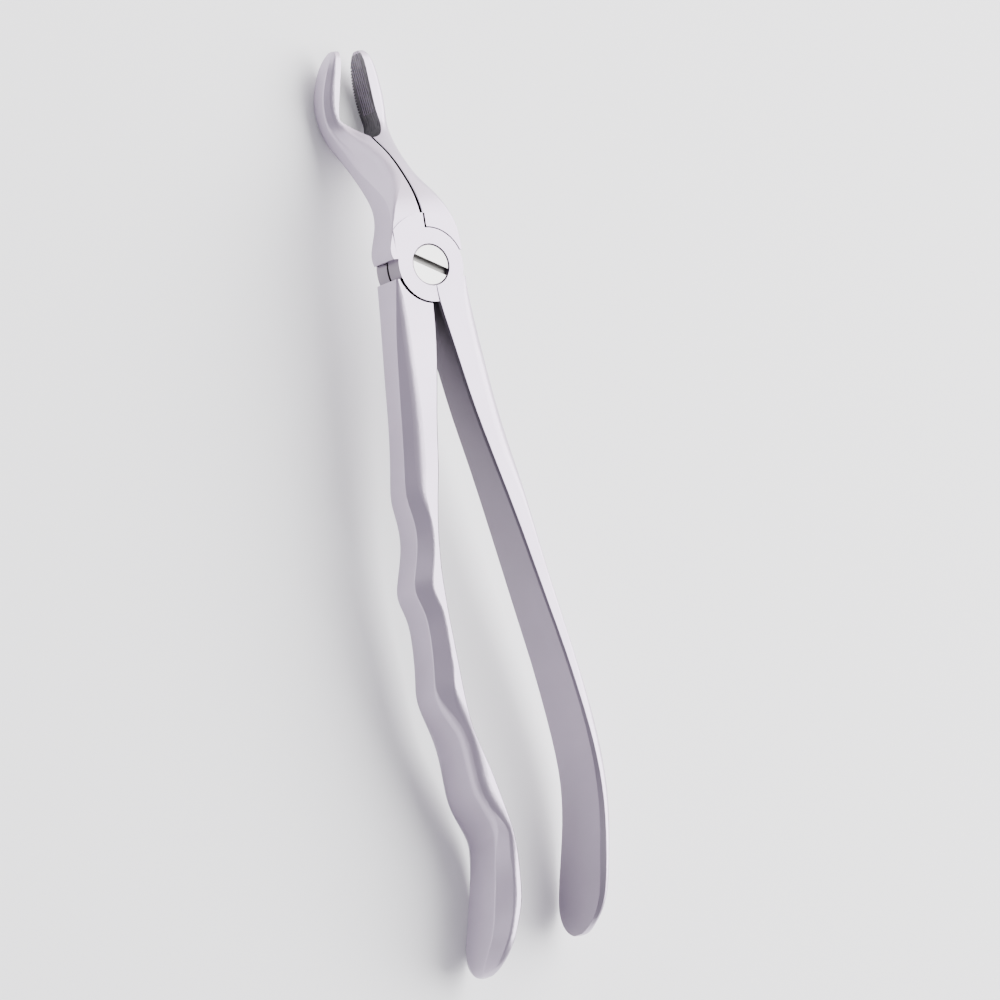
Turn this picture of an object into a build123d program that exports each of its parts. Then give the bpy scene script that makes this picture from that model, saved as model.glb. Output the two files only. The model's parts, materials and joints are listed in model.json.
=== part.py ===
from build123d import *
import math
import os

# Extraction forceps: two half-lapped steel levers turning on one slotted screw.
# Working frame: +Y runs from the joint to the beaks, +Z is the screw axis, towards
# the head, X = 0 is the seam between the jaws. Each lever is drawn at "u", the
# distance from that seam, and then put on its own side. At the end the whole tool
# is tilted so that it lies on the beak backs and the handle ends.

# Joint
JOINT_THICK = 7.2
LAP_DROP = 0.45
DISC_R = 7.0
DISC_FLARE = 0.5
SHOULDER_GAP = 0.25
HANDLE_GAP = 0.35
HANDLE_LEAN = 0.4
LAP_GAP = 0.25
LAP_CHAMFER = 0.15
SEAM_GAP = 0.42
WALL_LEFT = 0.25
WALL_RIGHT = 0.05
HALF_LEFT = DISC_R + DISC_FLARE + SHOULDER_GAP + WALL_LEFT
HALF_RIGHT = DISC_R + SHOULDER_GAP + WALL_RIGHT
JAW_SHOULDER_LEFT = 1.35
JAW_SHOULDER_RIGHT = 2.6
HANDLE_SHOULDER = 2.45
LAND_WIDE = 2.6
LAND_INSET = 0.9
FLAT_R = DISC_R + SHOULDER_GAP + LAND_WIDE

# Pivot screw
HEAD_R = 3.9
HEAD_THICK = 1.6
HEAD_SUNK = 0.15
HEAD_CLEAR = 0.1
HEAD_LIFT = 0.03
SHANK_R = 2.6
SHANK_CLEAR = 0.05
THREAD_R = 2.1
SLOT_WIDE = 1.4
SLOT_DEEP = 1.1
SLOT_ANGLE = -25.0
HEAD_EDGE = 0.2

# Jaws and beaks
BEAK_REACH = 44.3
CROTCH_Y = 27.0
CROTCH_LEFT = 4.7
CROTCH_RIGHT = 4.0
TIP_LEFT = 2.7
TIP_RIGHT = 2.45
FACE_START_Y = 31.0
FACE_END_Y = 42.0
CORNER_R = 0.8
GROOVES = 6
GROOVE_WIDE = 0.45
GROOVE_DEEP = 0.2
GROOVE_PITCH = 0.68
GROOVE_DROP = 1.0
GROOVE_START_Y = 32.6
TEETH = 16
TEETH_PITCH = 0.55
TEETH_DEEP = 0.45
TEETH_START_Y = 33.2

# Handles
GROOVED_LENGTH = 133.4
PLAIN_LENGTH = 126.7
GRIP_WIDE = 16.4

# Jaw stations: y, outer u, drop of the back below the joint's back face, drop of the
# front below the joint's front face, outer bevel width and depth, radius of the bevel's
# front edge, of its side edge and of the back corner. Two more stations before these
# come from the joint's own sizes.
JAW = [
    (8.0, 7.0, -0.1, 0.4, 0.3, 0.35, 0.3, 0.1, 0.5),
    (11.5, 6.2, 0.9, 1.15, 0.8, 0.9, 0.8, 0.12, 0.7),
    (15.0, 5.8, 3.3, 2.7, 2.2, 2.4, 2.2, 0.2, 0.9),
    (18.5, 5.6, 6.3, 5.1, 3.2, 4.0, 4.5, 0.8, 1.1),
    (22.0, 5.5, 9.6, 8.0, 3.2, 4.2, 5.5, 3.0, 1.3),
    (25.0, 5.7, 12.4, 11.2, 2.8, 3.4, 4.5, 2.6, 1.5),
    (27.5, 6.1, 14.2, 14.2, 2.1, 2.4, 2.8, 1.6, 1.7),
    (30.0, 6.5, 15.2, 16.3, 1.5, 1.8, 1.6, 0.9, 1.8),
    (32.5, 6.7, 15.65, 16.9, 1.2, 1.6, 1.1, 0.7, 1.8),
    (35.5, 6.6, 15.8, 16.8, 1.15, 1.55, 1.1, 0.7, 1.8),
    (38.5, 6.0, 15.5, 16.55, 1.05, 1.4, 1.0, 0.6, 1.7),
    (41.0, 5.25, 14.8, 16.35, 0.9, 1.1, 0.8, 0.5, 1.5),
    (42.8, 4.5, 13.8, 16.5, 0.7, 0.8, 0.6, 0.4, 1.2),
    (43.8, 3.9, 12.8, 17.0, 0.45, 0.5, 0.4, 0.3, 0.8),
    (44.3, 3.45, 12.0, 17.6, 0.25, 0.25, 0.2, 0.15, 0.3),
]

# Handle stations: distance from the pivot, inner u, outer u. The first takes its
# place and outer u from the joint's own sizes.
PLAIN = [
    (7.0, 0.4, 7.6),
    (12.5, 1.4, 8.4),
    (20.0, 2.8, 9.4),
    (28.0, 4.4, 10.6),
    (35.5, 6.2, 12.0),
    (43.0, 8.0, 13.4),
    (51.0, 9.8, 14.6),
    (58.5, 11.4, 15.8),
    (66.0, 13.0, 17.1),
    (74.0, 14.7, 18.5),
    (82.0, 16.1, 19.8),
    (89.5, 17.1, 20.7),
    (97.0, 17.5, 21.0),
    (104.5, 16.9, 20.3),
    (112.0, 15.5, 18.8),
    (118.5, 14.2, 17.3),
]
GROOVED = [
    (5.5, 0.45, 8.35),
    (12.5, 1.0, 9.2),
    (20.0, 2.1, 9.95),
    (27.5, 3.5, 10.6),
    (35.0, 4.7, 11.4),
    (39.5, 5.5, 12.0),
    (43.0, 6.3, 12.3),
    (46.5, 7.0, 11.8),
    (50.5, 7.7, 11.5),
    (54.0, 8.1, 12.1),
    (57.5, 8.4, 13.1),
    (61.0, 8.5, 13.7),
    (65.0, 8.5, 12.5),
    (69.0, 8.4, 12.0),
    (73.0, 8.25, 12.1),
    (76.5, 8.15, 12.4),
    (80.0, 8.05, 12.7),
    (84.0, 7.8, 11.6),
    (88.0, 7.2, 9.8),
    (92.0, 6.1, 9.0),
    (96.0, 4.9, 8.7),
    (99.5, 4.1, 8.2),
    (103.0, 3.4, 6.8),
    (107.0, 2.7, 5.2),
    (110.5, 2.5, 5.5),
    (114.5, 2.7, 6.3),
    (118.5, 3.1, 7.1),
    (122.0, 3.9, 7.9),
    (125.2, 5.1, 8.7),
]
# Handle width along Z: distance from the pivot, width.
WIDTH = [
    (0.0, JOINT_THICK),
    (34.0, 8.75),
    (50.0, 10.4),
    (65.0, 11.6),
    (82.0, 12.8),
    (97.0, 13.8),
    (107.0, 15.3),
]
# Outer bevel: distance from the pivot, depth along Z, width across.
GROOVED_BEVEL = [
    (2.45, 0.3, 0.35),
    (12.0, 1.2, 1.5),
    (25.0, 1.8, 2.5),
    (60.0, 2.4, 2.5),
    (82.0, 2.9, 2.5),
    (89.0, 1.7, 1.5),
    (103.0, 1.9, 1.5),
    (110.0, 3.4, 2.5),
]
PLAIN_BEVEL = [(2.45, 0.3, 0.5), (12.0, 1.2, 1.3), (25.0, 1.8, 1.4), (60.0, 2.4, 1.6), (115.0, 3.6, 1.8)]
# Broken inner edge: distance from the pivot, size.
GROOVED_NIP = [(90.0, 0.4)]
PLAIN_NIP = [(80.0, 0.4), (112.0, 0.85)]
# Softness of the bevel's two edges: distance from the pivot, radius.
FRONT_EDGE = [
    (2.45, 0.2),
    (8.0, 2.2),
    (38.0, 3.4),
    (46.0, 0.8),
    (80.0, 0.7),
    (87.0, 3.2),
    (104.0, 3.2),
    (112.0, 0.8),
]
SIDE_EDGE = [(2.45, 0.2), (79.0, 0.4), (86.0, 4.0), (105.0, 4.0), (111.0, 0.4)]
# Rounded handle end: share of the end radius left to go, thickness kept.
END = [(0.75, 0.96), (0.5, 0.9), (0.25, 0.78), (0.1, 0.64), (0.018, 0.45)]


def along(table, s):
    # Straight-line value in a (place, value) table.
    if s <= table[0][0]:
        return table[0][1]
    for (a, low), (b, high) in zip(table, table[1:]):
        if s <= b:
            return low + (high - low) * (s - a) / (b - a)
    return table[-1][1]


def fitted(points, radii):
    # Corner radii, held back where two corners would meet on a short side.
    count = len(points)
    spots = [Vector(*point) for point in points]
    turns = [math.pi - (spots[i - 1] - spots[i]).get_angle(spots[(i + 1) % count] - spots[i]) * math.pi / 180
             for i in range(count)]
    reach = [radius * math.tan(turn / 2) for radius, turn in zip(radii, turns)]
    kept = []
    for i in range(count):
        after = (spots[(i + 1) % count] - spots[i]).length / (reach[i] + reach[(i + 1) % count])
        before = (spots[i - 1] - spots[i]).length / (reach[i] + reach[i - 1])
        kept.append(radii[i] * min(1, 0.94 * after, 0.94 * before))
    return kept


def section(y, side, corners, radii):
    # One closed section in the plane Y = y, with rounded corners.
    plane = Plane(origin=(0, y, 0), x_dir=(1, 0, 0), z_dir=(0, -1, 0))
    points = [(side * u, z) for u, z in corners]
    return plane * make_face(FilletPolyline(*points, radius=fitted(points, radii), close=True))


def jaw_section(station, side):
    y, outer, back_drop, front_drop, bevel_u, bevel_z, front_r, side_r, back_r = station
    inner = SEAM_GAP / 2
    back = -JOINT_THICK / 2 - back_drop
    front = JOINT_THICK / 2 - front_drop
    corners = [(inner, back), (inner, front), (outer - bevel_u, front), (outer, front - bevel_z), (outer, back)]
    return section(y, side, corners, [0.2, 0.2, front_r, side_r, back_r])


def jaw(side):
    # Neck and beak of one lever, still solid across the tooth space.
    half = HALF_LEFT if side < 0 else HALF_RIGHT
    start = JAW_SHOULDER_LEFT if side < 0 else JAW_SHOULDER_RIGHT
    root = [
        (start, half, 0, 0, 0.12, 0.12, 0.1, 0.1, 0.3),
        (0.6 * DISC_R + 0.6, half - 0.05, 0, 0.1, 0.15, 0.15, 0.12, 0.1, 0.4),
    ]
    return loft([jaw_section(station, side) for station in root + JAW])


def face_line(side):
    # Inner face of a beak seen from the front: u at its foot, and slope of u along y.
    foot, tip = (CROTCH_LEFT, TIP_LEFT) if side < 0 else (CROTCH_RIGHT, TIP_RIGHT)
    return foot, (tip - foot) / (FACE_END_Y - FACE_START_Y)


def face_u(side, y):
    foot, slope = face_line(side)
    return foot + slope * (y - FACE_START_Y)


def tooth_space():
    # Opening between the beaks: bent crotch, then two flat faces closing to the tips.
    far_y = BEAK_REACH + 2
    low = -JOINT_THICK - max(row[2] for row in JAW)
    left = [(0, CROTCH_Y), (-CROTCH_LEFT, FACE_START_Y), (-face_u(-1, far_y), far_y)]
    right = [(face_u(1, far_y), far_y), (CROTCH_RIGHT, FACE_START_Y)]
    walls = FilletPolyline(*left, *right, radius=[CORNER_R, 0.1, 0.1])
    turn = math.sqrt(0.5)
    mid = (CROTCH_RIGHT * turn, FACE_START_Y - (FACE_START_Y - CROTCH_Y) * turn)
    arc = ThreePointArc((CROTCH_RIGHT, FACE_START_Y), mid, (0, CROTCH_Y))
    return Pos(Z=low) * extrude(make_face([walls, arc]), amount=JOINT_THICK - low)


def serrations(side):
    # Lengthwise V grooves in the flat inner face of a beak.
    turn = -math.atan(face_line(side)[1])
    along_face = Vector(-side * math.sin(turn), math.cos(turn), 0)
    into_beak = Vector(side * math.cos(turn), math.sin(turn), 0)
    start = Vector(side * face_u(side, GROOVE_START_Y), GROOVE_START_Y, 0)
    half = GROOVE_WIDE / 2
    top = JOINT_THICK / 2 - along([(row[0], row[3]) for row in JAW], GROOVE_START_Y) - GROOVE_DROP
    cuts = []
    for i in range(GROOVES):
        origin = start + Vector(0, 0, top - i * GROOVE_PITCH)
        plane = Plane(origin=origin, x_dir=into_beak, z_dir=along_face)
        wedge = make_face(Polyline((-0.3, -half), (GROOVE_DEEP, 0), (-0.3, half), close=True))
        cuts.append(extrude(plane * wedge, amount=BEAK_REACH + 2 - GROOVE_START_Y))
    return cuts


def edge_teeth(side):
    # Fine teeth across the lower edge of a beak's inner face.
    drops = [(row[0], row[2]) for row in JAW]
    inward = Vector(side, 0, 1).normalized()
    cuts = []
    for i in range(TEETH):
        y = TEETH_START_Y + i * TEETH_PITCH
        z = -JOINT_THICK / 2 - along(drops, y)
        edge = Vector(side * face_u(side, y), y, z)
        plane = Plane(origin=edge, x_dir=inward, z_dir=Vector(side, 0, -1))
        half = TEETH_PITCH / 2
        wedge = make_face(Polyline((-0.6, -half), (TEETH_DEEP, 0), (-0.6, half), close=True))
        cuts.append(extrude(plane * wedge, amount=1.5, both=True))
    return cuts


def handle_section(s, side, inner, outer, width, bevels, nips):
    # Flat inner face, front and back faces, and a bevel down to the outer side.
    high = width / 2
    thick = outer - inner
    bevel_u = min(along([(row[0], row[2]) for row in bevels], s), 0.6 * thick)
    bevel_z = min(along([(row[0], row[1]) for row in bevels], s), 0.55 * high)
    nip = min(along(nips, s), 0.25 * thick, 0.3 * high)
    corners = [
        (inner, -high + nip),
        (inner, high - nip),
        (inner + nip, high),
        (outer - bevel_u, high),
        (outer, high - bevel_z),
        (outer, -high + bevel_z),
        (outer - bevel_u, -high),
        (inner + nip, -high),
    ]
    small = 0.35 * nip
    front = along(FRONT_EDGE, s)
    outside = along(SIDE_EDGE, s)
    return section(-s, side, corners, [small, small, small, front, outside, outside, front, small])


def handle(side, stations, length, bevels, nips):
    # One handle, running to a rounded spoon end.
    radius = GRIP_WIDE / 2
    half = HALF_LEFT if side < 0 else HALF_RIGHT
    table = [(HANDLE_SHOULDER, 0.3, half)] + [row for row in stations if row[0] <= length - radius + 0.01]
    widths = WIDTH + [(length - radius - 4, GRIP_WIDE)]
    sections = [handle_section(s, side, i, o, along(widths, s), bevels, nips) for s, i, o in table]
    s_a, in_a, out_a = table[-2]
    s_b, in_b, out_b = table[-1]
    slope = (in_b - in_a) / (s_b - s_a)
    thick = out_b - in_b
    for left, keep in END:
        d = left * radius
        s = length - d
        wide = 2 * math.sqrt(d * (2 * radius - d))
        inner = in_b + slope * (s - s_b)
        sections.append(handle_section(s, side, inner, inner + keep * thick, wide, bevels, nips))
    return loft(sections)


def disc(side_up):
    # Hinge disc above (+1) or below (-1) the lap plane; the lower one flares to the back.
    top = JOINT_THICK / 2
    if side_up > 0:
        low = LAP_GAP / 2 - LAP_DROP
        body = Pos(Z=low) * extrude(Circle(DISC_R), amount=top - low)
        return chamfer(body.edges().group_by(Axis.Z)[0], LAP_CHAMFER)
    high = -LAP_GAP / 2 - LAP_DROP
    body = loft([Pos(Z=-top) * Circle(DISC_R + DISC_FLARE), Pos(Z=high) * Circle(DISC_R)])
    return chamfer(body.edges().group_by(Axis.Z)[-1], LAP_CHAMFER)


def flat_land(side):
    # Milled flat round the joint, on the jaw side, standing a little over the neck.
    half = HALF_LEFT if side < 0 else HALF_RIGHT
    start = JAW_SHOULDER_LEFT if side < 0 else JAW_SHOULDER_RIGHT
    wide = half - LAND_INSET - SEAM_GAP / 2
    keep = Pos(X=side * (SEAM_GAP / 2 + wide / 2), Y=start + FLAT_R / 2) * Rectangle(wide, FLAT_R)
    return Pos(Z=-JOINT_THICK / 2) * extrude(Circle(FLAT_R) & keep, amount=JOINT_THICK)


def lap_pocket(side_up):
    # Room for the other lever's disc: a close arc at the jaw; the arc at the grooved
    # handle leans outward, so that its gap tapers.
    jaw_half = Pos(Y=FLAT_R) * Rectangle(4 * FLAT_R, 2 * FLAT_R)
    if side_up > 0:
        near = Circle(DISC_R + SHOULDER_GAP) & jaw_half
        far = Pos(X=-HANDLE_LEAN) * Circle(DISC_R + HANDLE_GAP) - jaw_half
        return Pos(Z=-LAP_GAP / 2 - LAP_DROP) * extrude(near + far, amount=JOINT_THICK)
    low = -JOINT_THICK / 2
    high = LAP_GAP / 2 - LAP_DROP
    room = Circle(DISC_R + SHOULDER_GAP)
    foot = Circle(DISC_R + DISC_FLARE + SHOULDER_GAP)
    return loft([Pos(Z=low) * foot, Pos(Z=high) * room]) + Pos(Z=low - 2) * extrude(foot, amount=2)


def lever(jaw_side, disc_up, stations, length, bevels, nips):
    body = jaw(jaw_side) + handle(-jaw_side, stations, length, bevels, nips) + flat_land(jaw_side)
    body = body - lap_pocket(-disc_up)
    body = body + disc(disc_up)
    body = body - tooth_space()
    for cut in serrations(jaw_side) + edge_teeth(jaw_side):
        body = body - cut
    return body


def front_lever():
    # Left beak, upper disc, plain handle on the right; bored and counterbored.
    head_z = JOINT_THICK / 2 - HEAD_SUNK - HEAD_THICK
    body = lever(-1, 1, PLAIN, PLAIN_LENGTH, PLAIN_BEVEL, PLAIN_NIP)
    body = body - Pos(Z=-LAP_DROP) * extrude(Circle(SHANK_R + SHANK_CLEAR), amount=JOINT_THICK)
    return body - Pos(Z=head_z - HEAD_LIFT) * extrude(Circle(HEAD_R + HEAD_CLEAR), amount=JOINT_THICK)


def back_lever():
    # Right beak, lower disc, finger-grooved handle on the left; tapped hole.
    body = lever(1, -1, GROOVED, GROOVED_LENGTH, GROOVED_BEVEL, GROOVED_NIP)
    return body - Pos(Z=-JOINT_THICK) * extrude(Circle(THREAD_R), amount=JOINT_THICK)


def pivot_screw():
    # Cheese head with one slot, plain shoulder, threaded end flush with the back.
    head_z = JOINT_THICK / 2 - HEAD_SUNK - HEAD_THICK
    head = Pos(Z=head_z) * extrude(Circle(HEAD_R), amount=HEAD_THICK)
    head = chamfer(head.edges().group_by(Axis.Z)[-1], HEAD_EDGE)
    slot = Pos(Z=head_z + HEAD_THICK - SLOT_DEEP / 2) * Rot(Z=SLOT_ANGLE) * Box(3 * HEAD_R, SLOT_WIDE, SLOT_DEEP)
    seat = -LAP_DROP - LAP_GAP / 2
    shank = Pos(Z=seat) * extrude(Circle(SHANK_R), amount=head_z - seat)
    foot = -JOINT_THICK / 2 + 0.1
    thread = Pos(Z=foot) * extrude(Circle(THREAD_R), amount=seat - foot)
    return head - slot + shank + thread


def rest_tilt():
    # Slope of the line under the beak backs and the end of the longer handle.
    beak_y, drop = max(((row[0], row[2]) for row in JAW), key=lambda point: point[1])
    beak_z = -JOINT_THICK / 2 - drop
    handle_y = GRIP_WIDE / 2 - GROOVED_LENGTH
    return math.degrees(math.atan2(-GRIP_WIDE / 2 - beak_z, beak_y - handle_y))


def place(nodes):
    # Tilt onto the resting plane, then put the origin under the middle of the box.
    turned = {name: Rot(X=rest_tilt()) * solid for name, solid in nodes.items()}
    boxes = [solid.bounding_box() for solid in turned.values()]
    low = [min(tuple(box.min)[i] for box in boxes) for i in range(3)]
    high = [max(tuple(box.max)[i] for box in boxes) for i in range(3)]
    shift = Pos(-(low[0] + high[0]) / 2, -(low[1] + high[1]) / 2, -low[2])
    pivot = shift * Rot(X=rest_tilt()) * Pos(0, 0, 0)
    print("pivot", tuple(pivot.position), "tilt", rest_tilt())
    return {name: shift * solid for name, solid in turned.items()}


os.makedirs("parts", exist_ok=True)
built = {"front_lever": front_lever(), "back_lever": back_lever(), "pivot_screw": pivot_screw()}
for name, solid in place(built).items():
    solid.label = name
    export_step(solid, f"parts/{name}.step")
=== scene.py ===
import bpy
import json
from mathutils import Matrix, Vector

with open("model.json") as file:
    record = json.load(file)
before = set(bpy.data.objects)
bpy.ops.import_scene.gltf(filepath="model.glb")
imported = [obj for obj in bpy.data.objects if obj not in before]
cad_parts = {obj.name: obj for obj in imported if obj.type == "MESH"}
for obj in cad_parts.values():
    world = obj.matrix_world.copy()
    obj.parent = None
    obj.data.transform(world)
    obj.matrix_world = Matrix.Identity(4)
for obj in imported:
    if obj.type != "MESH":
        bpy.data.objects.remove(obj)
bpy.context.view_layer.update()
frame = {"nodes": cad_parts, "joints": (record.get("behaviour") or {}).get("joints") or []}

# Colours are linear. Lengths are in metres. A "way" is a direction in the tool's own axes.
PIVOT = Vector(frame["joints"][0]["pos_m"])
AXIS = Vector(frame["joints"][0]["axis"]).normalized()
WHITE = (1, 1, 1)

# The camera: which ways are right and up in the view, and how far its aim is from the screw.
LENS = 900.0
SENSOR = 36.0
FRAME_WIDE = 0.1852
VIEW_RIGHT = (0.845, -0.1456, 0.513)
VIEW_UP = (0.049, 0.979, 0.1975)
AIM_RIGHT = 0.0146
AIM_DOWN = 0.0429
CLIP_NEAR = 0.05
CLIP_FAR = 40.0

FLOOR_HALF = 8.0
FLOOR_COLOR = (0.93, 0.93, 0.935)
FLOOR_ROUGH = 0.9

WORLD_COLOR = (0.96, 0.93, 1.03)
WORLD_STRENGTH = 0.6
# Name, way from the screw, distance, width and height, watts, colour.
LIGHTS = (
    ("softbox", (0.70, 0.12, 0.70), 1.5, (2.1, 2.1), 108.0, WHITE),
    ("far_panel", (0.74, 0.62, 0.22), 1.6, (2.4, 0.9), 26.0, (1.0, 0.95, 0.93)),
    ("near_left_panel", (-0.42, 0.88, 0.2), 1.7, (1.7, 0.7), 10.0, WHITE),
)

# Steel. A pair of tones is the darker and the lighter one of the clouding.
LEVER_TONES = ((0.465, 0.405, 0.497), (0.51, 0.445, 0.545))
SCREW_TONES = ((0.50, 0.49, 0.49), (0.54, 0.53, 0.525))
TONE_STOPS = (0.3, 0.7)
FINE_NOISE = {"Scale": 4200.0, "Detail": 2.0, "Roughness": 0.6}
CLOUD_NOISE = {"Scale": 60.0, "Detail": 3.0, "Roughness": 0.55}
ROUGH_LESS = 0.05
ROUGH_MORE = 0.07
BUMP_HEIGHT = 0.00002

# Ground steel of the beaks' inner faces, with its streaks.
GROUND_TONES = ((0.09, 0.083, 0.095), (0.22, 0.21, 0.225))
GROUND_STOPS = (0.35, 0.7)
STREAK_NOISE = {"Scale": 1.0, "Detail": 3.0, "Roughness": 0.6}
STREAK_STRETCH = (3000.0, 300.0, 3000.0)

# Painted shade: inner faces of the handles at the joint, disc walls, gap walls, screw's slot.
GRIP_PAINTED_SHADE = (0.02, 0.018, 0.02)
DISC_WALL_SHADE = (0.25, 0.22, 0.26)
GAP_WALL_SHADE = (0.012, 0.011, 0.012)
SLOT_SHADE = (0.16, 0.155, 0.15)

# Beaks: how far each inner face is from the middle at CROTCH_AT, how it closes in from
# there to the tip, and the stretch along the tool where the faces lie.
CROTCH_AT = 0.031
CROTCH_LEFT = 0.0047
CROTCH_RIGHT = 0.0040
SLOPE_LEFT = 0.1818
SLOPE_RIGHT = 0.1409
FACE_MARGIN = 0.00045
BEAK_REACH = (0.0272, 0.0438)
UPRIGHT = 0.5

# Joint, where shade is painted: the seam of the necks, the rings where pocket and disc walls
# lie, and the lap.
# A disc wall gets the gaps' darker painted shade where it is nearer the handles than
# TUCKED_FROM.
SEAM_HALF = 0.0003
SEAM_REACH = (0.0069, 0.0271)
POCKET_RING = (0.0071, 0.0078)
DISC_RING = (0.0069, 0.0076)
LAP_LAYER = (-0.00074, -0.00017)
LAP_R = 0.0072
TUCKED_FROM = -0.0023
STEEP = 0.8

# Handles: the inner face starts at GRIP_FROM, and its painted shade brightens away from the
# joint.
GRIP_FROM = 0.004
GRIP_SHADE_FADE = {"From Min": 0.012, "From Max": 0.085, "To Min": 0.2, "To Max": 0.74}
GRIP_FLAT = 0.62

# Screw: all that lies lower than this gets painted shade.
SLOT_RIM = 0.0032


def tool_axes():
    # The tool's own axes: across, along to the beaks, and up the screw.
    across = Vector((1, 0, 0))
    return Matrix((across, AXIS.cross(across), AXIS)).transposed()


def make_camera():
    own = tool_axes()
    right = own @ Vector(VIEW_RIGHT)
    up = own @ Vector(VIEW_UP)
    right.normalize()
    back = right.cross(up).normalized()
    up = back.cross(right)
    target = PIVOT + AIM_RIGHT * right - AIM_DOWN * up
    data = bpy.data.cameras.new("camera")
    data.lens = LENS
    data.sensor_width = SENSOR
    data.clip_start = CLIP_NEAR
    data.clip_end = CLIP_FAR
    camera = bpy.data.objects.new("camera", data)
    bpy.context.scene.collection.objects.link(camera)
    camera.rotation_mode = "QUATERNION"
    camera.location = target + back * (FRAME_WIDE * LENS / SENSOR)
    camera.rotation_quaternion = Matrix((right, up, back)).transposed().to_quaternion()
    bpy.context.scene.camera = camera


def make_floor():
    corners = [(-1, -1), (1, -1), (1, 1), (-1, 1)]
    points = [(x * FLOOR_HALF, y * FLOOR_HALF, 0) for x, y in corners]
    mesh = bpy.data.meshes.new("floor")
    mesh.from_pydata(points, [], [(0, 1, 2, 3)])
    floor = bpy.data.objects.new("floor", mesh)
    bpy.context.scene.collection.objects.link(floor)
    material = bpy.data.materials.new("floor_paper")
    material.use_nodes = True
    shader = material.node_tree.nodes["Principled BSDF"]
    shader.inputs["Base Color"].default_value = (*FLOOR_COLOR, 1)
    shader.inputs["Roughness"].default_value = FLOOR_ROUGH
    mesh.materials.append(material)


def area_light(name, place, size, power, color):
    # A rectangular light that faces the screw.
    data = bpy.data.lights.new(name, "AREA")
    data.shape = "RECTANGLE"
    data.size, data.size_y = size
    data.energy = power
    data.color = color
    light = bpy.data.objects.new(name, data)
    bpy.context.scene.collection.objects.link(light)
    light.location = place
    light.rotation_mode = "QUATERNION"
    light.rotation_quaternion = (PIVOT - place).to_track_quat("-Z", "Y")


def make_lights():
    own = tool_axes()
    world = bpy.data.worlds.new("studio")
    world.use_nodes = True
    background = world.node_tree.nodes["Background"]
    background.inputs["Color"].default_value = (*WORLD_COLOR, 1)
    background.inputs["Strength"].default_value = WORLD_STRENGTH
    bpy.context.scene.world = world
    for name, way, distance, size, power, color in LIGHTS:
        area_light(name, PIVOT + distance * (own @ Vector(way)), size, power, color)


class Nodes:
    # Short way to add and join the shader nodes of one material.
    def __init__(self, material):
        self.tree = material.node_tree
        self.shader = self.tree.nodes["Principled BSDF"]
        self.place = self.add("ShaderNodeTexCoord")

    def add(self, kind, values=None, **settings):
        node = self.tree.nodes.new(kind)
        for key, value in settings.items():
            setattr(node, key, value)
        for key, value in (values or {}).items():
            node.inputs[key].default_value = value
        return node

    def join(self, a, out, b, into):
        self.tree.links.new(a.outputs[out], b.inputs[into])

    def math(self, operation, *values):
        # Each value is a node output or a plain number.
        node = self.add("ShaderNodeMath", operation=operation)
        for socket, value in zip(node.inputs, values):
            if isinstance(value, (int, float)):
                socket.default_value = value
            else:
                self.tree.links.new(value, socket)
        return node.outputs[0]

    def part(self, way):
        # Distance from the screw's middle along one of the tool's own axes.
        shift = self.add("ShaderNodeVectorMath", operation="SUBTRACT")
        shift.inputs[1].default_value = PIVOT
        self.join(self.place, "Object", shift, 0)
        dot = self.add("ShaderNodeVectorMath", operation="DOT_PRODUCT")
        dot.inputs[1].default_value = way
        self.join(shift, "Vector", dot, 0)
        return dot.outputs["Value"]

    def facing(self, way):
        # How far the surface faces along one of the tool's own axes.
        dot = self.add("ShaderNodeVectorMath", operation="DOT_PRODUCT")
        dot.inputs[1].default_value = way
        self.join(self.place, "Normal", dot, 0)
        return dot.outputs["Value"]


def ramp(n, source, stops, tones):
    # Two tones, one at each stop of a noise.
    node = n.add("ShaderNodeValToRGB")
    for element, stop, tone in zip(node.color_ramp.elements, stops, tones):
        element.position = stop
        element.color = (*tone, 1)
    n.join(source, "Fac", node, "Fac")
    return node.outputs["Color"]


def mix_color(n, factor, a, b):
    # a where the factor is 0, b where it is 1; each is a node output or a plain colour.
    mix = n.add("ShaderNodeMix", data_type="RGBA")
    n.tree.links.new(factor, mix.inputs[0])
    for socket, color in ((mix.inputs[6], a), (mix.inputs[7], b)):
        if isinstance(color, tuple):
            socket.default_value = (*color, 1)
        else:
            n.tree.links.new(color, socket)
    return mix.outputs[2]


def all_of(n, *tests):
    result = tests[0]
    for test in tests[1:]:
        result = n.math("MULTIPLY", result, test)
    return result


def any_of(n, *tests):
    result = tests[0]
    for test in tests[1:]:
        result = n.math("MAXIMUM", result, test)
    return result


def within(n, value, low, high):
    return all_of(n, n.math("GREATER_THAN", value, low), n.math("LESS_THAN", value, high))


def steel_base(name, tones, rough, grain):
    # Bead-blasted stainless steel: fine grain in bump and roughness, faint clouding.
    material = bpy.data.materials.new(name)
    material.use_nodes = True
    n = Nodes(material)
    fine = n.add("ShaderNodeTexNoise", FINE_NOISE)
    n.join(n.place, "Object", fine, "Vector")
    cloud = n.add("ShaderNodeTexNoise", CLOUD_NOISE)
    n.join(n.place, "Object", cloud, "Vector")
    tone = ramp(n, cloud, TONE_STOPS, tones)
    spread = {"To Min": rough - ROUGH_LESS, "To Max": rough + ROUGH_MORE}
    rough_map = n.add("ShaderNodeMapRange", spread)
    n.join(fine, "Fac", rough_map, "Value")
    bump = n.add("ShaderNodeBump", {"Strength": grain, "Distance": BUMP_HEIGHT})
    n.join(fine, "Fac", bump, "Height")
    n.join(bump, "Normal", n.shader, "Normal")
    n.join(rough_map, "Result", n.shader, "Roughness")
    n.shader.inputs["Metallic"].default_value = 1.0
    return material, n, tone


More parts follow.
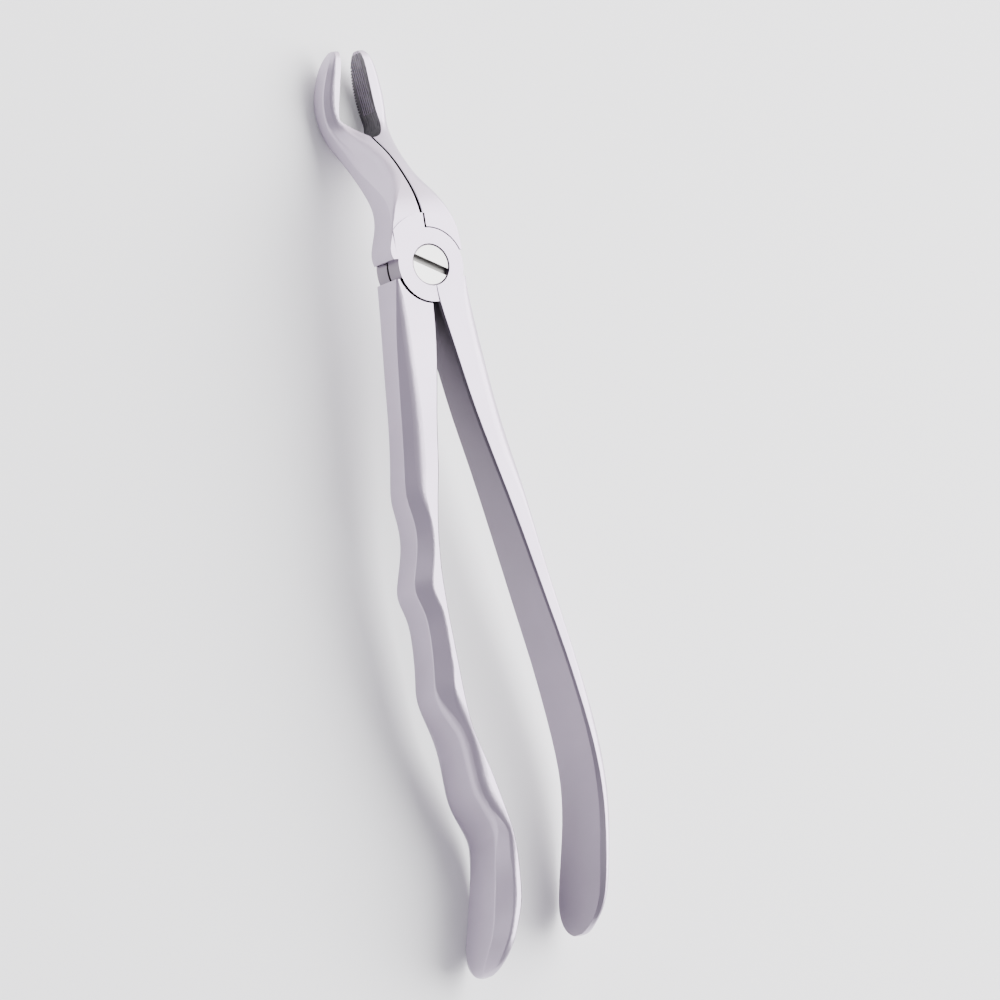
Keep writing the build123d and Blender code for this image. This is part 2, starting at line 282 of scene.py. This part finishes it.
def ground_steel(n):
    # Dark steel with fine streaks along the beaks.
    stretch = n.add("ShaderNodeMapping", {"Scale": STREAK_STRETCH})
    n.join(n.place, "Object", stretch, "Vector")
    streak = n.add("ShaderNodeTexNoise", STREAK_NOISE)
    n.join(stretch, "Vector", streak, "Vector")
    return ramp(n, streak, GROUND_STOPS, GROUND_TONES)


def beak_face_mask(n, own):
    # The inner faces of the beaks and the crotch between them.
    side = n.part(own.col[0])
    forward = n.part(own.col[1])
    past = n.math("SUBTRACT", forward, CROTCH_AT)
    left_line = n.math("SUBTRACT", CROTCH_LEFT, n.math("MULTIPLY", past, SLOPE_LEFT))
    left = n.math("SUBTRACT", n.math("MULTIPLY", side, -1.0), left_line)
    right_line = n.math("SUBTRACT", CROTCH_RIGHT, n.math("MULTIPLY", past, SLOPE_RIGHT))
    right = n.math("SUBTRACT", side, right_line)
    near = n.math("LESS_THAN", n.math("MAXIMUM", left, right), FACE_MARGIN)
    upright = n.math("LESS_THAN", n.math("ABSOLUTE", n.facing(own.col[2])), UPRIGHT)
    return all_of(n, near, within(n, forward, *BEAK_REACH), upright)


def gap_shade_masks(n, own):
    # Where shade is painted: first the walls inside the joint's narrow gaps, then all of the
    # discs' round walls.
    side = n.part(own.col[0])
    forward = n.part(own.col[1])
    height = n.part(own.col[2])
    squares = n.math("ADD", n.math("MULTIPLY", side, side), n.math("MULTIPLY", forward, forward))
    far = n.math("SQRT", squares)
    facing_side = n.facing(own.col[0])
    turn_side = n.math("MULTIPLY", facing_side, side)
    turn_forward = n.math("MULTIPLY", n.facing(own.col[1]), forward)
    outward = n.math("DIVIDE", n.math("ADD", turn_side, turn_forward), far)
    middle = n.math("LESS_THAN", n.math("ABSOLUTE", side), SEAM_HALF)
    sideways = n.math("GREATER_THAN", n.math("ABSOLUTE", facing_side), STEEP)
    seam = all_of(n, middle, within(n, forward, *SEAM_REACH), sideways)
    hollow = n.math("LESS_THAN", outward, -STEEP)
    pocket = all_of(n, within(n, far, *POCKET_RING), hollow)
    lap = all_of(n, within(n, height, *LAP_LAYER), n.math("LESS_THAN", far, LAP_R))
    round_wall = n.math("GREATER_THAN", outward, STEEP)
    disc = all_of(n, within(n, far, *DISC_RING), round_wall)
    tucked = all_of(n, disc, n.math("LESS_THAN", forward, TUCKED_FROM))
    return any_of(n, seam, pocket, lap, tucked), disc


def grip_shade_masks(n, own, inward):
    # Where the inner face of the handle is, and the brightness of its painted shade, lowest at
    # the joint.
    away = n.math("MULTIPLY", n.part(own.col[1]), -1.0)
    shade = n.add("ShaderNodeMapRange", GRIP_SHADE_FADE)
    n.tree.links.new(away, shade.inputs["Value"])
    toward = n.math("MULTIPLY", n.facing(own.col[0]), inward)
    flat = n.math("GREATER_THAN", toward, GRIP_FLAT)
    face = all_of(n, flat, n.math("GREATER_THAN", away, GRIP_FROM))
    return face, shade.outputs["Result"]


def lever_steel(name, inward):
    # Satin steel, with dark ground steel on the beaks' inner faces and painted shade on the
    # handles' inner faces, the disc walls and the joint's gaps. inward is 1 where the handle's
    # inner face looks along the tool's first axis, and -1 where it looks the other way.
    material, n, tone = steel_base(name, LEVER_TONES, rough=0.40, grain=0.35)
    own = tool_axes()
    grip, shade = grip_shade_masks(n, own, inward)
    # Painted shade on the inner faces of the handles, darkest at the joint.
    color = mix_color(n, grip, tone, mix_color(n, shade, GRIP_PAINTED_SHADE, tone))
    color = mix_color(n, beak_face_mask(n, own), color, ground_steel(n))
    gap, disc = gap_shade_masks(n, own)
    # Painted shade on the disc walls, then darker painted shade in the joint's gaps.
    color = mix_color(n, disc, color, DISC_WALL_SHADE)
    color = mix_color(n, gap, color, GAP_WALL_SHADE)
    n.tree.links.new(color, n.shader.inputs["Base Color"])
    return material


def screw_steel():
    # Finer turned steel, with painted shade inside the slot and lower down.
    material, n, tone = steel_base("screw_steel", SCREW_TONES, rough=0.34, grain=0.2)
    low_shade = n.math("LESS_THAN", n.part(AXIS), SLOT_RIM)
    color = mix_color(n, low_shade, tone, SLOT_SHADE)
    n.tree.links.new(color, n.shader.inputs["Base Color"])
    return material


def paint_nodes():
    steels = {
        "front_lever": lever_steel("satin_steel_front", -1.0),
        "back_lever": lever_steel("satin_steel_back", 1.0),
        "pivot_screw": screw_steel(),
    }
    for name, node in frame["nodes"].items():
        node.data.materials.clear()
        node.data.materials.append(steels[name])


make_camera()
make_floor()
make_lights()
paint_nodes()
